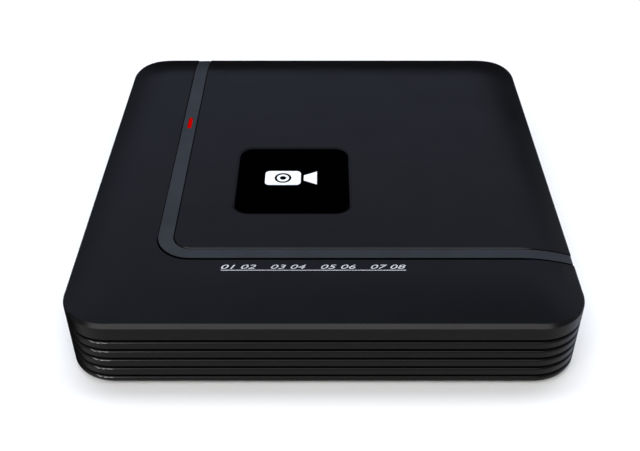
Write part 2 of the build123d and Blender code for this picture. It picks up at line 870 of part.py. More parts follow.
save(blocks([(cooler_x, cooler_y)], 27.0, 27.0, chip_height, board_top, 0.4), "processor")
save(blocks(chip_places, 14.0, 14.0, 1.4, board_top, 0.3), "video_chips")
save(blocks(memory_places, 9.0, 12.6, 1.1, board_top, 0.2), "memory_chips")
save(blocks([(-56.0, 88.0)], 13.0, 9.6, 5.6, board_top, 0.3), "lan_transformer")
save(blocks(inductor_places, 12.0, 12.0, 7.0, board_top, 1.2), "power_inductors")
save(blocks(crystal_places, 11.0, 4.6, 3.5, board_top, 0.8), "crystals")
save(blocks([(strip_x, led_y)], 3.0, 3.2, 1.6, board_top, 0.3), "status_led")
save(cans(capacitor_places, 4.0, 11.0, board_top, 0.6), "capacitors")

with BuildPart() as buzzer:
    with BuildSketch(Plane.XY.offset(board_top)):
        with Locations(buzzer_place):
            Circle(6.0)
    extrude(amount=8.5)
    fillet(buzzer.edges().group_by(Axis.Z)[-1], 0.6)
    with BuildSketch(Plane.XY.offset(board_top + 8.5)):
        with Locations(buzzer_place):
            Circle(1.1)
    extrude(amount=-3.0, mode=Mode.SUBTRACT)
save(buzzer.part, "buzzer")

with BuildPart() as pin_headers:
    with BuildSketch(Plane.XY.offset(board_top)):
        with Locations(*header_places):
            Rectangle(12.4, 5.8)
    extrude(amount=7.0)
    with BuildSketch(Plane.XY.offset(board_top + 7.0)):
        with Locations(*header_places):
            Rectangle(10.8, 4.2)
    extrude(amount=-5.5, mode=Mode.SUBTRACT)
    with BuildSketch(Plane.XY.offset(board_top + 1.0)):
        with Locations(*header_places):
            with GridLocations(2.5, 0, 4, 1):
                Rectangle(0.64, 0.64)
    extrude(amount=5.0)
save(pin_headers.part, "pin_headers")

with BuildPart() as coin_cell_holder:
    with BuildSketch(Plane.XY.offset(board_top)):
        with Locations((coin_x, coin_y)):
            Circle(12.0)
    extrude(amount=5.0)
    with BuildSketch(Plane.XY.offset(board_top + 1.2)):
        with Locations((coin_x, coin_y)):
            Circle(10.15)
            Rectangle(9.0, 30.0)
    extrude(amount=5.0, mode=Mode.SUBTRACT)
save(coin_cell_holder.part, "coin_cell_holder")

with BuildPart() as coin_cell:
    with BuildSketch(Plane.XY.offset(board_top + 1.2)):
        with Locations((coin_x, coin_y)):
            Circle(10.0)
    extrude(amount=3.2)
    chamfer(coin_cell.edges().group_by(Axis.Z)[0], 0.6)
    fillet(coin_cell.edges().group_by(Axis.Z)[-1], 0.4)
save(coin_cell.part, "coin_cell")

# ---------------------------------------------------------------- heatsink and fan
heatsink_bottom = board_top + chip_height
fan_screw_places = [(cooler_x + sx * 16.0, cooler_y + sy * 16.0) for sx in (-1, 1) for sy in (-1, 1)]

with BuildPart() as heatsink:
    with BuildSketch(Plane.XY.offset(heatsink_bottom)):
        with Locations((cooler_x, cooler_y)):
            Rectangle(heatsink_size, heatsink_size)
    extrude(amount=2.5)
    with BuildSketch(Plane.XY.offset(heatsink_bottom + 2.5)):
        with Locations((cooler_x, cooler_y)):
            with GridLocations(3.7, 0, 11, 1):
                Rectangle(1.0, heatsink_size)
    extrude(amount=heatsink_height - 2.5)
    # cross cut and clear corners for the fan screws
    with BuildSketch(Plane.XY.offset(heatsink_bottom + 2.5)):
        with Locations((cooler_x, cooler_y)):
            Rectangle(heatsink_size + 1, 2.4)
            with GridLocations(32.0, 32.0, 2, 2):
                Rectangle(5.6, 5.6)
    extrude(amount=heatsink_height, mode=Mode.SUBTRACT)
    with BuildSketch(Plane.XY.offset(heatsink_bottom)):
        with Locations(*fan_screw_places):
            Circle(1.45)
    extrude(amount=2.5, mode=Mode.SUBTRACT)
save(heatsink.part, "heatsink")

fan_bore = 18.8
fan_hub = 11.0

with BuildPart() as fan_frame:
    with BuildSketch(Plane.XY.offset(fan_bottom)):
        with Locations((cooler_x, cooler_y)):
            RectangleRounded(fan_size, fan_size, 2.5)
            Circle(fan_bore, mode=Mode.SUBTRACT)
        with Locations(*fan_screw_places):
            Circle(1.75, mode=Mode.SUBTRACT)
    extrude(amount=fan_height)
    # motor seat on three struts at the bottom, with the bearing post
    with BuildSketch(Plane.XY.offset(fan_bottom)):
        with Locations((cooler_x, cooler_y)):
            Circle(fan_hub)
            with PolarLocations(14.6, 3, start_angle=30):
                Rectangle(9.4, 2.6)
    extrude(amount=1.6)
    with BuildSketch(Plane.XY.offset(fan_bottom + 1.6)):
        with Locations((cooler_x, cooler_y)):
            Circle(2.5)
            Circle(1.05, mode=Mode.SUBTRACT)
    extrude(amount=5.4)
save(fan_frame.part, "fan_frame")

with BuildPart() as fan_rotor:
    with BuildSketch(Plane.XY.offset(fan_bottom + 2.2)):
        with Locations((cooler_x, cooler_y)):
            Circle(fan_hub)
    extrude(amount=7.2)
    fillet(fan_rotor.edges().group_by(Axis.Z)[-1], 0.8)
    with BuildSketch(Plane.XY.offset(fan_bottom + 2.2)):
        with Locations((cooler_x, cooler_y)):
            Circle(fan_hub - 1.2)
    extrude(amount=5.8, mode=Mode.SUBTRACT)
    with BuildSketch(Plane.XY.offset(fan_bottom + 2.2)):
        with Locations((cooler_x, cooler_y)):
            Circle(1.0)
    extrude(amount=6.0)
    with Locations((cooler_x, cooler_y, fan_bottom + 5.7)):
        with PolarLocations(fan_hub + 3.0, 7):
            Box(7.6, 1.1, 8.6, rotation=(48, 0, 0))
save(fan_rotor.part, "fan_rotor")

save(screws(fan_screw_places, fan_bottom + fan_height, 2.6, 1.6, 1.4, 18.0, -1), "fan_screws")

# ---------------------------------------------------------------- disk drive
drive_x = (drive_left + drive_right) / 2
cover_height = 2.2
cover_bottom = drive_top - cover_height
cavity_floor = drive_bottom + 6.0
drive_cover_screw_places = [
    (x, drive_mid + side * (drive_width / 2 - 3.2))
    for x in (drive_left + 8.0, drive_x, drive_right - 8.0)
    for side in (-1, 1)
]

with BuildPart() as drive_base:
    with BuildSketch(Plane.XY.offset(drive_bottom)):
        with Locations((drive_x, drive_mid)):
            RectangleRounded(drive_length, drive_width, 2.5)
    extrude(amount=cover_bottom - drive_bottom)
    # chamber for platters and arm
    with BuildSketch(Plane.XY.offset(cavity_floor)):
        with Locations((drive_x + 1.0, drive_mid)):
            RectangleRounded(drive_length - 10.0, drive_width - 4.0, 10.0)
    extrude(amount=drive_top, mode=Mode.SUBTRACT)
    # screw pillars of the drive's own cover
    with BuildSketch(Plane.XY.offset(cavity_floor)):
        with Locations(*drive_cover_screw_places):
            Circle(2.6)
    extrude(amount=cover_bottom - cavity_floor)
    # shallow bay for the circuit board, and room for the socket block
    with BuildSketch(Plane.XY.offset(drive_bottom)):
        with Locations((drive_x - 14.0, drive_mid)):
            Rectangle(96.0, 78.0)
    extrude(amount=2.6, mode=Mode.SUBTRACT)
    with BuildSketch(Plane.XY.offset(drive_bottom)):
        with Locations((drive_left, drive_mid + 20.0)):
            Rectangle(14.4, 44.4)
    extrude(amount=9.4, mode=Mode.SUBTRACT)
    # blind holes: mounting below, cover screws above, spindle and pivot posts inside
    with BuildSketch(Plane.XY.offset(drive_bottom)):
        with Locations(*drive_holes):
            Circle(1.75)
    extrude(amount=5.0, mode=Mode.SUBTRACT)
    with BuildSketch(Plane.XY.offset(cover_bottom)):
        with Locations(*drive_cover_screw_places):
            Circle(1.05)
    extrude(amount=-6.0, mode=Mode.SUBTRACT)
    with BuildSketch(Plane.XY.offset(cavity_floor - 1.0)):
        with Locations((spindle_x, drive_mid)):
            Circle(4.0)
        with Locations((pivot_x, pivot_y)):
            Circle(3.0)
    extrude(amount=15.0)
save(drive_base.part, "drive_base")

with BuildPart() as drive_cover:
    with BuildSketch(Plane.XY.offset(cover_bottom)):
        with Locations((drive_x, drive_mid)):
            RectangleRounded(drive_length - 0.6, drive_width - 0.6, 2.4)
        with Locations(*drive_cover_screw_places):
            Circle(1.25, mode=Mode.SUBTRACT)
    extrude(amount=1.2)
    # raised field over the platters and the arm
    with BuildSketch(Plane.XY.offset(cover_bottom + 1.2)):
        with Locations((spindle_x - 2.0, drive_mid)):
            Circle(43.0)
        with Locations((pivot_x - 2.0, drive_mid)):
            RectangleRounded(54.0, 76.0, 8.0)
    extrude(amount=cover_height - 1.2)
    fillet(drive_cover.edges().group_by(Axis.Z)[-1], 0.5)
save(drive_cover.part, "drive_cover")

save(screws(drive_cover_screw_places, cover_bottom + 1.2, 2.1, 1.0, 1.0, 5.0, -1), "drive_cover_screws")

with BuildPart() as drive_platters:
    # hub sleeve, two platters and the clamp ring
    with BuildSketch(Plane.XY.offset(cavity_floor + 1.0)):
        with Locations((spindle_x, drive_mid)):
            Circle(12.5)
    extrude(amount=14.4)
    for level in platter_levels:
        with BuildSketch(Plane.XY.offset(level)):
            with Locations((spindle_x, drive_mid)):
                Circle(platter_radius)
        extrude(amount=platter_thickness)
    with BuildSketch(Plane.XY.offset(platter_levels[-1] + platter_thickness)):
        with Locations((spindle_x, drive_mid)):
            Circle(15.5)
    extrude(amount=1.0)
    with BuildSketch(Plane.XY.offset(cavity_floor)):
        with Locations((spindle_x, drive_mid)):
            Circle(4.05)
    extrude(amount=15.1 - 1.0, mode=Mode.SUBTRACT)
save(drive_platters.part, "drive_platters")

coil_reach = 23.0

with BuildPart() as drive_head_arm:
    # pivot block, one arm for each side of the platters, and the voice coil on the tail
    with BuildSketch(Plane((pivot_x, pivot_y, cavity_floor + 2.0))):
        Circle(8.5)
    extrude(amount=13.6)
    for level in arm_levels:
        with BuildSketch(Plane((pivot_x, pivot_y, level)).rotated((0, 0, arm_park_angle))):
            Polygon((0, -7.5), (arm_length, -1.4), (arm_length, 1.4), (0, 7.5), align=None)
            with Locations((arm_length * 0.42, 0)):
                Circle(2.4, mode=Mode.SUBTRACT)
        extrude(amount=1.2)
    with BuildSketch(Plane((pivot_x, pivot_y, 20.0)).rotated((0, 0, arm_park_angle))):
        Polygon((0, 7.0), (-coil_reach, 9.5), (-coil_reach, -9.5), (0, -7.0), align=None)
        with Locations((-coil_reach + 6.5, 0)):
            Rectangle(6.0, 9.0, mode=Mode.SUBTRACT)
    extrude(amount=2.4)
    with BuildSketch(Plane((pivot_x, pivot_y, cavity_floor))):
        Circle(3.05)
    extrude(amount=14.1, mode=Mode.SUBTRACT)
save(drive_head_arm.part, "drive_head_arm")

magnet_reach = 17.5

with BuildPart() as drive_magnets:
    # two steel plates with the coil between them, joined outside its sweep
    for low, high in ((cavity_floor + 0.1, cavity_floor + 4.0), (24.4, 28.2)):
        with BuildSketch(Plane((pivot_x, pivot_y, low)).rotated((0, 0, arm_park_angle + 163.5))):
            with Locations((magnet_reach, 0)):
                Rectangle(11.0, 22.0)
        extrude(amount=high - low)
save(drive_magnets.part, "drive_magnets")

with BuildPart() as drive_board:
    with BuildSketch(Plane.XY.offset(drive_bottom + 0.9)):
        with Locations((drive_x - 14.0, drive_mid)):
            Rectangle(94.0, 76.0)
    extrude(amount=1.4)
save(drive_board.part, "drive_board")

socket_y_data = drive_mid + 6.0
socket_y_power = drive_mid + 27.0

with BuildPart() as drive_socket:
    # one block with two mouths open to the left, each with its contact blade
    with BuildSketch(Plane.YZ.offset(drive_left)):
        with Locations((drive_mid + 20.0, drive_socket_z)):
            Rectangle(44.0, 6.8)
    extrude(amount=7.0)
    with BuildSketch(Plane.YZ.offset(drive_left)):
        with Locations((socket_y_data, drive_socket_z)):
            Rectangle(12.0, 5.0)
        with Locations((socket_y_power, drive_socket_z)):
            Rectangle(24.0, 5.0)
    extrude(amount=5.6, mode=Mode.SUBTRACT)
    with BuildSketch(Plane.YZ.offset(drive_left + 0.6)):
        with Locations((socket_y_data, drive_socket_z)):
            Rectangle(10.0, 1.1)
        with Locations((socket_y_power, drive_socket_z)):
            Rectangle(21.0, 1.1)
    extrude(amount=5.2)
save(drive_socket.part, "drive_socket")

# ---------------------------------------------------------------- cables between board and drive
socket_level = drive_socket_z
data_diameter = 4.0
wire_diameter = 1.6
wire_pitch = 2.5
wire_count = 4
plug_left = drive_left - 12.0
board_plug_end = board_front - 9.0

with BuildPart() as sata_socket:
    with BuildSketch(facing_back(board_front + 0.5)):
        with Locations((sata_socket_x, board_top)):
            Rectangle(16.0, 6.6, align=(Align.CENTER, Align.MIN))
    extrude(amount=-9.0)
    with BuildSketch(facing_back(board_front + 0.5)):
        with Locations((sata_socket_x, socket_level + 0.6)):
            Rectangle(12.0, 4.0)
    extrude(amount=-6.0, mode=Mode.SUBTRACT)
    with BuildSketch(facing_back(board_front + 1.0)):
        with Locations((sata_socket_x, socket_level + 0.6)):
            Rectangle(10.0, 1.1)
    extrude(amount=-6.0)
save(sata_socket.part, "sata_socket")

with BuildPart() as power_header:
    with BuildSketch(facing_back(board_front + 0.5)):
        with Locations((power_header_x, board_top)):
            Rectangle(13.0, 6.6, align=(Align.CENTER, Align.MIN))
    extrude(amount=-9.0)
    with BuildSketch(facing_back(board_front + 0.5)):
        with Locations((power_header_x, socket_level + 0.6)):
            Rectangle(11.0, 4.6)
    extrude(amount=-6.0, mode=Mode.SUBTRACT)
save(power_header.part, "power_header")

with BuildPart() as data_plugs:
    # the plug at the drive, then the plug at the board
    with BuildSketch(Plane.YZ.offset(drive_left + 5.0)):
        with Locations((socket_y_data, socket_level)):
            Rectangle(11.6, 4.6)
            Rectangle(10.2, 1.3, mode=Mode.SUBTRACT)
    extrude(amount=-5.2)
    with BuildSketch(Plane.YZ.offset(drive_left - 0.2)):
        with Locations((socket_y_data, socket_level)):
            RectangleRounded(13.6, 6.4, 1.0)
    extrude(amount=-11.8)
    with BuildSketch(facing_back(board_front + 6.0)):
        with Locations((sata_socket_x, socket_level + 0.6)):
            Rectangle(11.6, 3.6)
            Rectangle(10.2, 1.3, mode=Mode.SUBTRACT)
    extrude(amount=5.6)
    with BuildSketch(facing_back(board_front + 0.4)):
        with Locations((sata_socket_x, socket_level + 0.6)):
            RectangleRounded(13.6, 6.4, 1.0)
    extrude(amount=board_front + 0.4 - board_plug_end)
save(data_plugs.part, "data_plugs")

with BuildPart() as power_plugs:
    with BuildSketch(Plane.YZ.offset(drive_left + 5.0)):
        with Locations((socket_y_power, socket_level)):
            Rectangle(23.6, 4.6)
            Rectangle(21.2, 1.3, mode=Mode.SUBTRACT)
    extrude(amount=-5.2)
    with BuildSketch(Plane.YZ.offset(drive_left - 0.2)):
        with Locations((socket_y_power, socket_level)):
            RectangleRounded(25.0, 6.4, 1.0)
    extrude(amount=-11.8)
    with BuildSketch(facing_back(board_front + 6.0)):
        with Locations((power_header_x, socket_level + 0.6)):
            RectangleRounded(10.6, 4.2, 0.5)
    extrude(amount=6.0 + board_front - board_plug_end)
save(power_plugs.part, "power_plugs")


def tube(route, radii, diameter):
    """A round cable along straight runs joined by tangent arcs."""
    with BuildPart() as cable:
        with BuildLine() as line:
            FilletPolyline(*route, radius=radii)
        with BuildSketch(Plane(line.line @ 0, z_dir=line.line % 0)):
            Circle(diameter / 2)
        sweep()
    length = sum(edge.length for edge in line.edges())
    section = pi * diameter**2 / 4
    print("cable length", round(length, 1), "volume ratio", round(cable.part.volume / (length * section), 4))
    return cable.part


board_exit_z = socket_level + 0.6
data_route = [
    (sata_socket_x, board_plug_end, board_exit_z),
    (sata_socket_x, board_plug_end - 14.0, board_exit_z),
    (-106.0, -16.0, socket_level + 0.3),
    (-106.0, socket_y_data, socket_level),
    (plug_left, socket_y_data, socket_level),
]
save(tube(data_route, [9.5, 16.0, 18.0], data_diameter), "data_cable")

power_wires = []
for index in range(wire_count):
    shift = (index - (wire_count - 1) / 2) * wire_pitch
    power_route = [
        (power_header_x + shift, board_plug_end, board_exit_z),
        (power_header_x + shift, board_plug_end - 20.0 - 0.4 * shift, board_exit_z),
        (-86.0 + shift, -14.0 - 0.4 * shift, socket_level + 0.3),
        (-86.0 + shift, socket_y_power + shift, socket_level),
        (plug_left, socket_y_power + shift, socket_level),
    ]
    power_wires.append(tube(power_route, [7.0, 8.0, 8.0], wire_diameter))

with BuildPart() as drive_power_wires:
    for wire in power_wires:
        add(wire)
save(drive_power_wires.part, "drive_power_wires")
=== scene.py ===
"""Looks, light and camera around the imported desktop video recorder."""

import json
import math
import random

import bmesh
import bpy
from mathutils import Matrix, Vector


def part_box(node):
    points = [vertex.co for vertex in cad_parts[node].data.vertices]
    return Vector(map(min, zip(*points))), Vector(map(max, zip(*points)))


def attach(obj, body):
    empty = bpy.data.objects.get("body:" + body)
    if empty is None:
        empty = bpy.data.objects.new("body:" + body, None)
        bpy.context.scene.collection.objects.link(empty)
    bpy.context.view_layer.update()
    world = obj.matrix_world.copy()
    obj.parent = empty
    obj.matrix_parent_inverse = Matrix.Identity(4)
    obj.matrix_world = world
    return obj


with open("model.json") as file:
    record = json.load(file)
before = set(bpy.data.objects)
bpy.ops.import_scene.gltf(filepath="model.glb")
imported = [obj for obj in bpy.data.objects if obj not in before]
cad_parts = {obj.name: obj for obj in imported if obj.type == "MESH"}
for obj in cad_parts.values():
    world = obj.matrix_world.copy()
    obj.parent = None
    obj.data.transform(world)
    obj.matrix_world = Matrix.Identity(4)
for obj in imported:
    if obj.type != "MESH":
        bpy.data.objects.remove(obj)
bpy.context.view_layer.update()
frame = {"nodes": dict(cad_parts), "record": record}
nodes = frame["nodes"]
MM = 0.001


# ---------------------------------------------------------------- materials
class Shader:
    """A material around one Principled shader, with helpers for its procedural inputs."""

    def __init__(self, name, colour, roughness, **sockets):
        self.material = bpy.data.materials.new(name)
        self.material.use_nodes = True
        self.tree = self.material.node_tree
        self.bsdf = self.tree.nodes["Principled BSDF"]
        self.bsdf.inputs["Base Color"].default_value = (*colour, 1.0)
        self.bsdf.inputs["Roughness"].default_value = roughness
        for socket, value in sockets.items():
            self.bsdf.inputs[socket.replace("_", " ")].default_value = value
        self.place = self.tree.nodes.new("ShaderNodeTexCoord").outputs["Object"]

    def node(self, kind, **values):
        made = self.tree.nodes.new(kind)
        for name, value in values.items():
            setattr(made, name, value)
        return made

    def link(self, output, target):
        self.tree.links.new(output, target)

    def noise(self, scale, detail=2.0, stretch=(1, 1, 1)):
        """Noise over the object's own place, in features per metre."""
        mapping = self.node("ShaderNodeMapping")
        mapping.inputs["Scale"].default_value = stretch
        self.link(self.place, mapping.inputs["Vector"])
        texture = self.node("ShaderNodeTexNoise")
        texture.inputs["Scale"].default_value = scale
        texture.inputs["Detail"].default_value = detail
        self.link(mapping.outputs["Vector"], texture.inputs["Vector"])
        return texture.outputs["Fac"]

    def spread(self, value, low, high):
        """Map a 0 to 1 value onto low to high."""
        remap = self.node("ShaderNodeMapRange")
        remap.inputs["From Min"].default_value = 0.3
        remap.inputs["From Max"].default_value = 0.7
        remap.inputs["To Min"].default_value = low
        remap.inputs["To Max"].default_value = high
        self.link(value, remap.inputs["Value"])
        return remap.outputs["Result"]

    def vary_roughness(self, scale, low, high, **noise):
        self.link(self.spread(self.noise(scale, **noise), low, high), self.bsdf.inputs["Roughness"])
        return self

    def vary_colour(self, scale, first, second, **noise):
        ramp = self.node("ShaderNodeMix", data_type="RGBA")
        ramp.inputs["A"].default_value = (*first, 1)
        ramp.inputs["B"].default_value = (*second, 1)
        self.link(self.spread(self.noise(scale, **noise), 0, 1), ramp.inputs["Factor"])
        self.link(ramp.outputs["Result"], self.bsdf.inputs["Base Color"])
        return self

    def bump(self, height, distance, strength=1.0):
        made = self.node("ShaderNodeBump")
        made.inputs["Distance"].default_value = distance
        made.inputs["Strength"].default_value = strength
        self.link(height, made.inputs["Height"])
        self.link(made.outputs["Normal"], self.bsdf.inputs["Normal"])
        return self


def moulded(name, colour, roughness, grain=9000.0, depth=0.000004, specular=0.5):
    """Injection-moulded plastic: a fine spark-eroded grain and slow changes in gloss."""
    shader = Shader(name, colour, roughness, Specular_IOR_Level=specular)
    shader.vary_roughness(35.0, roughness * 0.92, roughness * 1.08)
    brighter = tuple(c * 1.12 for c in colour)
    shader.vary_colour(60.0, tuple(c * 0.9 for c in colour), brighter)
    shader.bump(shader.noise(grain, detail=3.0), depth)
    return shader.material


def metal(name, colour, roughness, brushed=None, depth=0.000002):
    """Bare metal, brushed along one axis if asked."""
    shader = Shader(name, colour, roughness, Metallic=1.0)
    stretch = brushed or (1, 1, 1)
    scale = 1500.0 if brushed else 120.0
    shader.vary_roughness(scale, roughness * 0.75, roughness * 1.3, stretch=stretch)
    shader.bump(shader.noise(scale * 2, detail=2.0, stretch=stretch), depth)
    return shader.material


finishes = {
    "case_black": moulded("satin_case", (0.0030, 0.0030, 0.0033), 0.25, specular=0.14),
    "trim_grey": moulded("slate_strip", (0.0203, 0.0226, 0.0266), 0.30, specular=0.133),
    "badge_black": moulded("gloss_badge", (0.0002, 0.0002, 0.0002), 0.06, depth=0.0, specular=0.0),
    "foot_rubber": moulded("rubber", (0.012, 0.012, 0.012), 0.8),
    "panel_paint": moulded("panel_paint", (0.013, 0.013, 0.014), 0.5, grain=2500.0, depth=0.00002),
    "screw_steel": metal("zinc", (0.58, 0.59, 0.6), 0.3),
    "nickel": metal("nickel", (0.66, 0.64, 0.6), 0.2),
    "socket_tin": metal("tinned_steel", (0.62, 0.63, 0.64), 0.32),
    "contact_gold": metal("gold_flash", (0.85, 0.62, 0.26), 0.25),
    "white_plastic": moulded("white_moulding", (0.72, 0.72, 0.69), 0.45),
    "black_plastic": moulded("black_moulding", (0.014, 0.014, 0.015), 0.45),
    "collar_red": moulded("red_moulding", (0.4, 0.012, 0.012), 0.4),
    "vga_blue": moulded("blue_moulding", (0.02, 0.06, 0.3), 0.4),
    "chip_black": moulded("chip_epoxy", (0.016, 0.016, 0.017), 0.5),
    "can_black": moulded("can_sleeve", (0.012, 0.012, 0.02), 0.22),
    "ferrite": moulded("ferrite", (0.06, 0.06, 0.06), 0.6, grain=4000.0),
    "black_anodised": metal("black_anodised", (0.06, 0.06, 0.065), 0.4, brushed=(1, 0.05, 1)),
    "cast_aluminium": metal("cast_aluminium", (0.5, 0.51, 0.52), 0.45, depth=0.00001),
    "drive_steel": metal("drive_lid", (0.6, 0.61, 0.62), 0.3, brushed=(0.03, 1, 1)),
    "platter_mirror": metal("platter", (0.85, 0.85, 0.86), 0.04),
    "cell_steel": metal("cell_steel", (0.7, 0.7, 0.7), 0.22),
    "cable_red": moulded("red_jacket", (0.35, 0.01, 0.01), 0.4),
    "wire_yellow": moulded("yellow_wire", (0.7, 0.42, 0.02), 0.4),
    "board_green": moulded("solder_mask", (0.008, 0.07, 0.03), 0.3),
}

red_lens = Shader("lit_window", (0.1, 0.0, 0.0), 0.4, Specular_IOR_Level=0.0)
red_lens.bsdf.inputs["Emission Color"].default_value = (1.0, 0.0, 0.0, 1)
red_lens.bsdf.inputs["Emission Strength"].default_value = 0.42
finishes["red_lens"] = red_lens.material

slot_of = {entry["node"]: entry["material_slot"] for entry in frame["record"]["subparts"]}
for name, node in nodes.items():
    node.data.materials.clear()
    node.data.materials.append(finishes[slot_of[name]])

# ---------------------------------------------------------------- making pieces
def weld(mesh):
    """Close the seams that curves leave between their caps and sides."""
    work = bmesh.new()
    work.from_mesh(mesh)
    bmesh.ops.remove_doubles(work, verts=work.verts, dist=0.0005 * MM)
    bmesh.ops.recalc_face_normals(work, faces=work.faces)
    work.to_mesh(mesh)
    work.free()
    return mesh


def meshed(curve):
    """The mesh of a curve or text, with the curve removed."""
    holder = bpy.data.objects.new(curve.name, curve)
    bpy.context.scene.collection.objects.link(holder)
    depsgraph = bpy.context.evaluated_depsgraph_get()
    mesh = bpy.data.meshes.new_from_object(holder.evaluated_get(depsgraph))
    bpy.data.objects.remove(holder)
    bpy.data.curves.remove(curve)
    return weld(mesh)


def plate(loops, bottom, thickness):
    """A flat plate in millimetres: the first loop is its outline, further loops are holes or islands."""
    curve = bpy.data.curves.new("plate", "CURVE")
    curve.dimensions = "2D"
    curve.fill_mode = "BOTH"
    curve.extrude = thickness * MM / 2
    for loop in loops:
        spline = curve.splines.new("POLY")
        spline.points.add(len(loop) - 1)
        for point, (x, y) in zip(spline.points, loop):
            point.co = (x * MM, y * MM, 0, 1)
        spline.use_cyclic_u = True
    mesh = meshed(curve)
    mesh.transform(Matrix.Translation((0, 0, (bottom + thickness / 2) * MM)))
    return mesh


def written(text, low, high, thickness, slant=0.0):
    """Numerals that fill the rectangle from low to high, standing on Z = 0, in millimetres."""
    curve = bpy.data.curves.new("numerals", "FONT")
    curve.body = text
    curve.shear = slant
    curve.resolution_u = 4
    curve.extrude = 0.01
    mesh = meshed(curve)
    corners = [[f(v.co[axis] for v in mesh.vertices) for f in (min, max)] for axis in range(3)]
    target = [(low[0], high[0]), (low[1], high[1]), (0, thickness)]
    for vertex in mesh.vertices:
        for axis, ((old_low, old_high), (new_low, new_high)) in enumerate(zip(corners, target)):
            share = (vertex.co[axis] - old_low) / (old_high - old_low)
            vertex.co[axis] = (new_low + share * (new_high - new_low)) * MM
    return mesh


def circle(x, y, radius, steps=48, start=0.0, sweep=360.0):
    """Points round a circle or an arc of it."""
    count = steps if sweep == 360.0 else steps + 1
    angles = [math.radians(start + sweep * step / steps) for step in range(count)]
    return [(x + radius * math.cos(angle), y + radius * math.sin(angle)) for angle in angles]


def rounded(x, y, width, depth, corner, steps=8):
    """A rectangle centred on x, y with round corners."""
    points = []
    for turn, (side_x, side_y) in enumerate(((1, 1), (-1, 1), (-1, -1), (1, -1))):
        centre = (x + side_x * (width / 2 - corner), y + side_y * (depth / 2 - corner))
        points += circle(*centre, corner, steps, 90.0 * turn, 90.0)
    return points


def block(low, high, soften=0.0):
    """A box between two corners in millimetres, with softened edges."""
    work = bmesh.new()
    bmesh.ops.create_cube(work, size=1.0)
    for vertex in work.verts:
        for axis in range(3):
            vertex.co[axis] = (low[axis] if vertex.co[axis] < 0 else high[axis]) * MM
    if soften:
        bmesh.ops.bevel(work, geom=work.edges[:], offset=soften * MM, segments=1, affect="EDGES")
    mesh = bpy.data.meshes.new("block")
    work.to_mesh(mesh)
    work.free()
    return mesh


def piece(name, body, slot, meshes, finish=None, smooth=None):
    """Join meshes into one named piece that rides on a body and takes its finish from a slot."""
    work = bmesh.new()
    for mesh in meshes:
        work.from_mesh(mesh)
        bpy.data.meshes.remove(mesh)
    joined = bpy.data.meshes.new(name)
    work.to_mesh(joined)
    work.free()
    made = bpy.data.objects.new(name, joined)
    bpy.context.scene.collection.objects.link(made)
    joined.materials.append(finish or finishes[slot])
    if smooth:
        for polygon in joined.polygons:
            polygon.use_smooth = True
        joined.set_sharp_from_angle(angle=math.radians(smooth))
    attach(made, body)
    return made


def box_mm(name):
    """A node's lowest and highest corners in millimetres."""
    return [[value / MM for value in corner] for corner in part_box(name)]


def solids(name):
    """The box of each separate solid of a node, in millimetres, from left to right."""
    work = bmesh.new()
    work.from_mesh(nodes[name].data)
    bmesh.ops.remove_doubles(work, verts=work.verts, dist=0.001 * MM)
    waiting = set(work.verts)
    boxes = []
    while waiting:
        reached = [waiting.pop()]
        for vertex in reached:
            linked = {edge.other_vert(vertex) for edge in vertex.link_edges} & waiting
            waiting -= linked
            reached += linked
        low = [min(v.co[axis] for v in reached) / MM for axis in range(3)]
        high = [max(v.co[axis] for v in reached) / MM for axis in range(3)]
        boxes.append((low, high))
    work.free()
    return sorted(boxes)


# ---------------------------------------------------------------- printing on the cover
PRINT = 0.05
ink = moulded("white_ink", (0.78, 0.79, 0.82), 0.5)
line_ink = moulded("grey_ink", (0.46, 0.47, 0.49), 0.5)
case_high = box_mm("upper_case")[1]
badge_low, badge_high = box_mm("badge_plate")
strip_low = box_mm("trim_strip")[0]

# a ruled line just in front of the strip, with the channels' numbers over it in four groups
rule_left, rule_right = badge_low[0] - 2.5, badge_high[0] + 25.3
rule_y = strip_low[1] - 9.35
rule_width = 0.38
numeral_low, numeral_height = 1.0, 2.9
group_gap = 7.0
group_width = (rule_right - rule_left - 3 * group_gap) / 4
groups = []
for index, numbers in enumerate(("01 02", "03 04", "05 06", "07 08")):
    left = rule_left + index * (group_width + group_gap)
    low = (left, rule_y + numeral_low)
    high = (left + group_width, rule_y + numeral_low + numeral_height)
    groups.append(written(numbers, low, high, PRINT, slant=0.3))
    groups[-1].transform(Matrix.Translation((0, 0, case_high[2] * MM)))
rule = rounded((rule_left + rule_right) / 2, rule_y, rule_right - rule_left, rule_width, 0.2, 2)
piece("channel_rule", "cover", "white_plastic", [plate([rule], case_high[2], PRINT)] + groups, line_ink)

# painted shade: a dark strip laid in the seam outside the trim strip stands in for the shade down in the gap,
# and follows the crown of the cover
SIDE_FALL, REAR_FALL, RISE = 27.5, 27.5, 4.3
BEND = 17.7
SHADE_SUNK, SHADE_FOOT, SHADE_PLAY = 0.42, 1.5, 0.03
seam_width = 0.4
front_seam = 1.44


def top_height(x, y):
    """Height of the crowned top: level in the middle, with parabolic shoulders at the sides and the rear."""
    side = max(abs(x) - (case_high[0] - SIDE_FALL), 0) / SIDE_FALL
    rear = max(y - (case_high[1] - REAR_FALL), 0) / REAR_FALL
    return case_high[2] - RISE + RISE * (1 - side**2) * (1 - rear**2)


def seam_line(left, front, radius):
    """Stations along one side of the seam: down from the rear, round the bend, out to the right."""
    turn_x, turn_y = left + radius, front + radius
    rear, right = case_high[1] - 0.6, case_high[0] - 0.6
    down = [(left, rear + (turn_y - rear) * step / 40) for step in range(40)]
    bend = circle(turn_x, turn_y, radius, 16, 180.0, 90.0)
    out = [(turn_x + (right - turn_x) * step / 40, front) for step in range(1, 41)]
    return down + bend + out


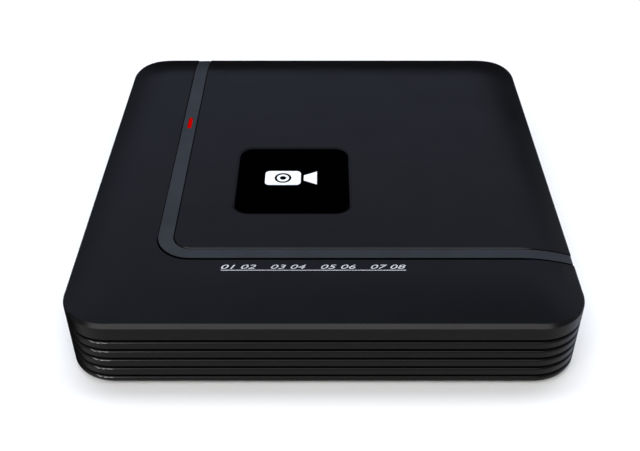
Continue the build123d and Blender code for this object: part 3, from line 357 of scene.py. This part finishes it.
seam_outer = seam_line(strip_low[0] - seam_width + SHADE_PLAY, strip_low[1] - front_seam + SHADE_PLAY,
                       BEND - SHADE_PLAY)
seam_inner = seam_line(strip_low[0] - SHADE_PLAY, strip_low[1] - SHADE_PLAY, BEND - seam_width + SHADE_PLAY)
work = bmesh.new()
rings = []
for (outer_x, outer_y), (inner_x, inner_y) in zip(seam_outer, seam_inner):
    corners = []
    for x, y, sunk in ((outer_x, outer_y, SHADE_SUNK), (inner_x, inner_y, SHADE_SUNK),
                       (inner_x, inner_y, SHADE_FOOT), (outer_x, outer_y, SHADE_FOOT)):
        corners.append(work.verts.new((x * MM, y * MM, (top_height(x, y) - sunk) * MM)))
    rings.append(corners)
for first, second in zip(rings, rings[1:]):
    for index in range(4):
        following = (index + 1) % 4
        work.faces.new((first[index], first[following], second[following], second[index]))
work.faces.new(rings[0][::-1])
work.faces.new(rings[-1])
bmesh.ops.recalc_face_normals(work, faces=work.faces)
gap_shade_mesh = bpy.data.meshes.new("gap_shade_mesh")
work.to_mesh(gap_shade_mesh)
work.free()
# painted shade: near-black with no specular, so the seam between the strip and the cover reads black
gap_shade_black = moulded("painted_gap_shade", (0.0005, 0.0005, 0.0005), 0.9, specular=0.0)
piece("gap_shade_strip", "cover", "foot_rubber", [gap_shade_mesh], gap_shade_black)

# a generic camera pictogram on the badge
mark_x = (badge_low[0] + badge_high[0]) / 2 - 1.0
mark_y = (badge_low[1] + badge_high[1]) / 2 + 1.5
body_width, body_depth = 19.0, 12.6
body_right = mark_x + 5.0
lens_ring = [circle(body_right - body_width / 2, mark_y, radius) for radius in (4.5, 3.2, 1.7)]
camera_body = [rounded(body_right - body_width / 2, mark_y, body_width, body_depth, 2.4)]
hood = [(body_right + 1.6, mark_y - 2.3), (body_right + 8.6, mark_y - 5.9),
        (body_right + 8.6, mark_y + 5.9), (body_right + 1.6, mark_y + 2.3)]
piece("badge_mark", "cover", "white_plastic",
      [plate(camera_body + lens_ring, badge_high[2], PRINT), plate([hood], badge_high[2], PRINT)], ink)

# ---------------------------------------------------------------- printing on the rear panel
panel_face = box_mm("rear_panel")[1][1]
numeral_offset, numeral_bottom, numeral_size = 5.2, 27.2, (1.5, 2.3)
facing_back = Matrix(((-1, 0, 0, 0), (0, 0, 1, panel_face * MM), (0, 1, 0, 0), (0, 0, 0, 1)))
jack_numbers = []
for number, (low, high) in enumerate(reversed(solids("bnc_contacts")), 1):
    left = -((low[0] + high[0]) / 2 + numeral_offset) - numeral_size[0] / 2
    mesh = written(str(number), (left, numeral_bottom),
                   (left + numeral_size[0], numeral_bottom + numeral_size[1]), PRINT)
    mesh.transform(facing_back)
    jack_numbers.append(mesh)
piece("jack_numbers", "base", "white_plastic", jack_numbers, ink)

# ---------------------------------------------------------------- small parts on the boards
LEG_WIDTH, LEG_THICKNESS, LEG_LIFT = 0.28, 0.22, 0.05
LEG_INSIDE, LEG_OUTSIDE = 0.2, 0.9
LEG_END_MARGIN = 1.2


def chip_legs(name, places, sides, pitch):
    """Flat legs along the sides of chips. The sides are the axes along which a row of legs runs."""
    legs = []
    for low, high in places:
        foot = low[2] + LEG_LIFT
        for axis in sides:
            across = 1 - axis
            count = int((high[axis] - low[axis] - LEG_END_MARGIN) / pitch)
            start = (low[axis] + high[axis] - count * pitch) / 2
            for step in range(count + 1):
                middle = start + step * pitch
                for edge, outward in ((low[across], -1), (high[across], 1)):
                    inner, outer = sorted((edge - outward * LEG_INSIDE, edge + outward * LEG_OUTSIDE))
                    corner_low, corner_high = [0, 0, foot], [0, 0, foot + LEG_THICKNESS]
                    corner_low[axis], corner_high[axis] = middle - LEG_WIDTH / 2, middle + LEG_WIDTH / 2
                    corner_low[across], corner_high[across] = inner, outer
                    legs.append(block(corner_low, corner_high))
    return piece(name, "base", "socket_tin", legs)


video = solids("video_chips")
memory = solids("memory_chips")
chip_legs("video_legs", video, (0, 1), 0.65)
chip_legs("memory_legs", memory, (1,), 0.8)

# printed marks on the chips: a dot at pin one, and a plain ruled block instead of lettering
DOT_INSET, DOT_RADIUS = 1.5, 0.45
BAR_SHARES = (0.7, 0.55, 0.55)
BAR_TOP, BAR_PITCH, BAR_HEIGHT = 3.4, 1.3, 0.45
chip_marks = []
for low, high in video + memory:
    chip_marks.append(plate([circle(low[0] + DOT_INSET, low[1] + DOT_INSET, DOT_RADIUS, 16)], high[2], PRINT))
    for row, share in enumerate(BAR_SHARES):
        bar = rounded((low[0] + high[0]) / 2, high[1] - BAR_TOP - BAR_PITCH * row,
                      (high[0] - low[0]) * share, BAR_HEIGHT, 0.1, 2)
        chip_marks.append(plate([bar], high[2], PRINT))
piece("chip_marks", "base", "white_plastic", chip_marks, line_ink)

# capacitor tops: bare aluminium inside the sleeve, scored with a cross, and a pale stripe down the sleeve
TOP_SHARE, TOP_THICKNESS = 0.74, 0.04
SECTOR_SHIFT, SECTOR_SWEEP = 0.14, 86
STRIPE_START, STRIPE_SWEEP = 160, 40
STRIPE_PROUD, STRIPE_DEPTH = 0.03, 0.3
STRIPE_BOTTOM, STRIPE_SHORTER = 0.4, 1.4
can_tops, can_stripes = [], []
for low, high in solids("capacitors"):
    x, y = (low[0] + high[0]) / 2, (low[1] + high[1]) / 2
    radius = (high[0] - low[0]) / 2
    for quarter in range(4):
        corner = 45 + 90 * quarter
        centre = (x + SECTOR_SHIFT * math.cos(math.radians(corner)),
                  y + SECTOR_SHIFT * math.sin(math.radians(corner)))
        rim = circle(*centre, radius * TOP_SHARE, 10, corner - SECTOR_SWEEP / 2, SECTOR_SWEEP)
        can_tops.append(plate([[centre] + rim], high[2], TOP_THICKNESS))
    outer = circle(x, y, radius + STRIPE_PROUD, 6, STRIPE_START, STRIPE_SWEEP)
    inner = circle(x, y, radius - STRIPE_DEPTH, 6, STRIPE_START, STRIPE_SWEEP)
    height = high[2] - low[2] - STRIPE_SHORTER
    can_stripes.append(plate([outer + inner[::-1]], low[2] + STRIPE_BOTTOM, height))
piece("can_tops", "base", "socket_tin", can_tops)
piece("can_stripes", "base", "white_plastic", can_stripes, line_ink)

# seeded small parts on the free areas of the main board
board_low, board_high = box_mm("main_board")
board_nodes = ("processor", "heatsink", "video_chips", "memory_chips", "lan_transformer", "power_inductors",
               "crystals", "capacitors", "buzzer", "pin_headers", "coin_cell_holder", "status_led",
               "sata_socket", "power_header", "board_screws", "lan_port", "usb_port", "hdmi_shell",
               "vga_insulator", "dc_jack_body", "bnc_insulators", "rca_bodies", "fan_frame")
SMALL_PARTS = 150
LONG_HALF, SHORT_HALF, PART_HEIGHT = 0.8, 0.4, 0.5
PART_CLEARANCE, BOARD_MARGIN, JACK_MARGIN = 1.7, 4, 14
TALLEST_OVER_BOARD = 12
END_HALF, END_PROUD, SINK = 0.22, 0.04, 0.02
surface = board_high[2]
taken = [box for name in board_nodes for box in solids(name) if box[0][2] < surface + TALLEST_OVER_BOARD]
drawn = random.Random(7)
chips, ends = [], []
while len(chips) < SMALL_PARTS:
    x = drawn.uniform(board_low[0] + BOARD_MARGIN, board_high[0] - BOARD_MARGIN)
    y = drawn.uniform(board_low[1] + BOARD_MARGIN, board_high[1] - JACK_MARGIN)
    across = drawn.random() < 0.5
    half_x, half_y = (LONG_HALF, SHORT_HALF) if across else (SHORT_HALF, LONG_HALF)
    clear_x, clear_y = half_x + PART_CLEARANCE, half_y + PART_CLEARANCE
    if not all(x + clear_x < low[0] or x - clear_x > high[0] or y + clear_y < low[1] or y - clear_y > high[1]
               for low, high in taken):
        continue
    taken.append(((x - half_x, y - half_y, surface), (x + half_x, y + half_y, surface)))
    top = surface + PART_HEIGHT
    chips.append(block((x - half_x, y - half_y, surface - SINK), (x + half_x, y + half_y, top), 0.05))
    for side in (-1, 1):
        place = (x + side * half_x, y) if across else (x, y + side * half_y)
        spread_x, spread_y = (END_HALF, half_y + END_PROUD) if across else (half_x + END_PROUD, END_HALF)
        ends.append(block((place[0] - spread_x, place[1] - spread_y, surface - SINK),
                          (place[0] + spread_x, place[1] + spread_y, top + END_PROUD), 0.04))
piece("board_chips", "base", "ferrite", chips)
piece("board_chip_ends", "base", "socket_tin", ends)

# ---------------------------------------------------------------- blank labels, hub label and port lights
paper = moulded("label_paper", (0.62, 0.62, 0.6), 0.6)
silver_foil = moulded("silver_label", (0.34, 0.35, 0.36), 0.35)
LABEL = 0.06

lid_low, lid_high = box_mm("drive_cover")
label_x = lid_low[0] + 0.66 * (lid_high[0] - lid_low[0])
label_y = lid_low[1] + 0.5 * (lid_high[1] - lid_low[1])
piece("drive_label", "base", "white_plastic",
      [plate([rounded(label_x, label_y, 46.0, 58.0, 1.5)], lid_high[2], LABEL)], paper)

HUB_LABEL_RADIUS, HUB_DOT_SHIFT, HUB_DOT_RADIUS, HUB_LABEL = 8.6, 3.0, 1.4, 0.05
fan_low, fan_high = box_mm("fan_rotor")
fan_x, fan_y = (fan_low[0] + fan_high[0]) / 2, (fan_low[1] + fan_high[1]) / 2
hub_label = [circle(fan_x, fan_y, HUB_LABEL_RADIUS), circle(fan_x + HUB_DOT_SHIFT, fan_y, HUB_DOT_RADIUS, 24)]
piece("fan_label", "fan", "white_plastic", [plate(hub_label, fan_high[2], HUB_LABEL)], silver_foil)

case_bottom = box_mm("lower_case")[0][2]
under = plate([rounded(0, 0, 62.0, 34.0, 2.0)], case_bottom - LABEL, LABEL)
piece("rating_label", "base", "white_plastic", [under], silver_foil)

LAMP_INSET, LAMP_HALF, LAMP_LOW, LAMP_HIGH = 1.9, 1.0, 3.4, 1.6
LAMP_SUNK, LAMP_PROUD = 0.05, 0.15
lan_low, lan_high = box_mm("lan_port")
lamp_places = (lan_low[0] + LAMP_INSET, lan_high[0] - LAMP_INSET)
for side, (x, slot) in enumerate(zip(lamp_places, ("wire_yellow", "board_green"))):
    lamp = block((x - LAMP_HALF, lan_high[1] - LAMP_SUNK, lan_high[2] - LAMP_LOW),
                 (x + LAMP_HALF, lan_high[1] + LAMP_PROUD, lan_high[2] - LAMP_HIGH))
    piece(f"lan_lamp_{side}", "base", slot, [lamp])

# ---------------------------------------------------------------- floor
floor_shader = Shader("studio_floor", (0.86, 0.86, 0.86), 0.45, Specular_IOR_Level=0.2)
floor_shader.vary_roughness(8.0, 0.42, 0.48)
floor_shader.bsdf.inputs["Emission Color"].default_value = (1.0, 1.0, 1.0, 1)
floor_shader.bsdf.inputs["Emission Strength"].default_value = 0.02
bpy.ops.mesh.primitive_plane_add(size=6.0)
floor = bpy.context.object
floor.name = "studio_floor"
floor.data.materials.append(floor_shader.material)
floor.visible_glossy = False


# ---------------------------------------------------------------- light
class Sky:
    """The studio's surroundings, as a colour for each direction."""

    def __init__(self):
        self.world = bpy.data.worlds.new("studio")
        self.world.use_nodes = True
        self.tree = self.world.node_tree
        direction = self.tree.nodes.new("ShaderNodeTexCoord").outputs["Generated"]
        split = self.tree.nodes.new("ShaderNodeSeparateXYZ")
        self.tree.links.new(direction, split.inputs["Vector"])
        self.right, self.back, self.up = split.outputs

    def math(self, operation, first, second):
        made = self.tree.nodes.new("ShaderNodeMath")
        made.operation = operation
        for socket, value in zip(made.inputs, (first, second)):
            if isinstance(value, (int, float)):
                socket.default_value = value
            else:
                self.tree.links.new(value, socket)
        return made.outputs["Value"]

    def step(self, value, low, high):
        """0 below low, 1 above high, smooth between."""
        remap = self.tree.nodes.new("ShaderNodeMapRange")
        remap.interpolation_type = "SMOOTHSTEP"
        remap.inputs["From Min"].default_value = low
        remap.inputs["From Max"].default_value = high
        self.tree.links.new(value, remap.inputs["Value"])
        return remap.outputs["Result"]

    def mix(self, factor, first, second):
        made = self.tree.nodes.new("ShaderNodeMix")
        made.data_type = "RGBA"
        self.tree.links.new(factor, made.inputs["Factor"])
        for name, value in (("A", first), ("B", second)):
            socket = next(s for s in made.inputs if s.name == name and s.type == "RGBA")
            if isinstance(value, tuple):
                socket.default_value = (*value, 1)
            else:
                self.tree.links.new(value, socket)
        return next(s for s in made.outputs if s.type == "RGBA")


sky = Sky()
# behind the recorder: a cool wall of light that starts over a dark edge, which rises to the right
EDGE_RISE = 0.25
edge = sky.math("MULTIPLY", sky.math("MAXIMUM", sky.right, 0.0), EDGE_RISE)
over_edge = sky.math("SUBTRACT", sky.up, edge)
low_wall = sky.mix(sky.step(sky.up, 0.4, 0.62), (0.36, 0.4, 0.56), (0.54, 0.6, 0.8))
high_wall = sky.mix(sky.step(sky.right, -0.3, 0.3), (0.62, 0.68, 0.9), (0.27, 0.3, 0.43))
wall = sky.mix(sky.step(sky.up, 0.62, 0.85), low_wall, high_wall)
behind = sky.mix(sky.step(over_edge, 0.33, 0.40), (0.008, 0.006, 0.004), wall)
# a window far to the right
behind = sky.mix(sky.step(sky.right, 0.4, 0.65), behind, (0.66, 0.69, 0.82))
# in front of it: the lit floor below and a neutral room above
ahead = sky.mix(sky.step(sky.up, -0.1, 0.12), (0.76, 0.75, 0.74), (0.32, 0.32, 0.32))
surroundings = sky.mix(sky.step(sky.back, -0.25, 0.15), ahead, behind)
camera_ray = sky.tree.nodes.new("ShaderNodeLightPath").outputs["Is Camera Ray"]
seen = sky.mix(camera_ray, surroundings, (1.1, 1.1, 1.1))
sky.tree.links.new(seen, sky.tree.nodes["Background"].inputs["Color"])
bpy.context.scene.world = sky.world


def softbox(name, bearing, elevation, distance, size, radiance, colour=(1, 1, 1)):
    """A rectangular light facing the recorder. The bearing runs from the front to the left, in degrees."""
    light = bpy.data.lights.new(name, "AREA")
    light.shape = "RECTANGLE"
    light.size, light.size_y = size
    light.energy = radiance * math.pi * size[0] * size[1]
    light.color = colour
    holder = bpy.data.objects.new(name, light)
    bpy.context.scene.collection.objects.link(holder)
    turn, lift = math.radians(bearing), math.radians(elevation)
    level = math.cos(lift)
    place = distance * Vector((-math.sin(turn) * level, -math.cos(turn) * level, math.sin(lift)))
    holder.matrix_world = Matrix.Translation(place) @ (-place).to_track_quat("-Z", "Y").to_matrix().to_4x4()
    holder.visible_camera = False
    return holder


softbox("key", 8, 52, 1.6, (2.2, 0.6), 4.7, (1.0, 1.0, 0.97))
overhead = softbox("overhead", 180, 80, 1.6, (1.4, 0.5), 7.0, (0.95, 0.97, 1.0))
overhead.visible_glossy = False
side_strip = softbox("side_strip", 31, 22, 1.5, (0.4, 0.35), 70.0)
side_strip.visible_diffuse = False

# ---------------------------------------------------------------- camera
camera_data = bpy.data.cameras.new("camera")
camera_data.lens = 50.966
camera_data.sensor_width = 36.0
camera_data.shift_x = -0.00605
camera = bpy.data.objects.new("camera", camera_data)
bpy.context.scene.collection.objects.link(camera)
CAMERA_DOWN = 38.607
camera.location = (0, -0.41348, 0.32291)
camera.rotation_euler = (math.radians(90 - CAMERA_DOWN), 0, 0)
bpy.context.scene.camera = camera
bpy.context.scene.view_settings.view_transform = "Standard"
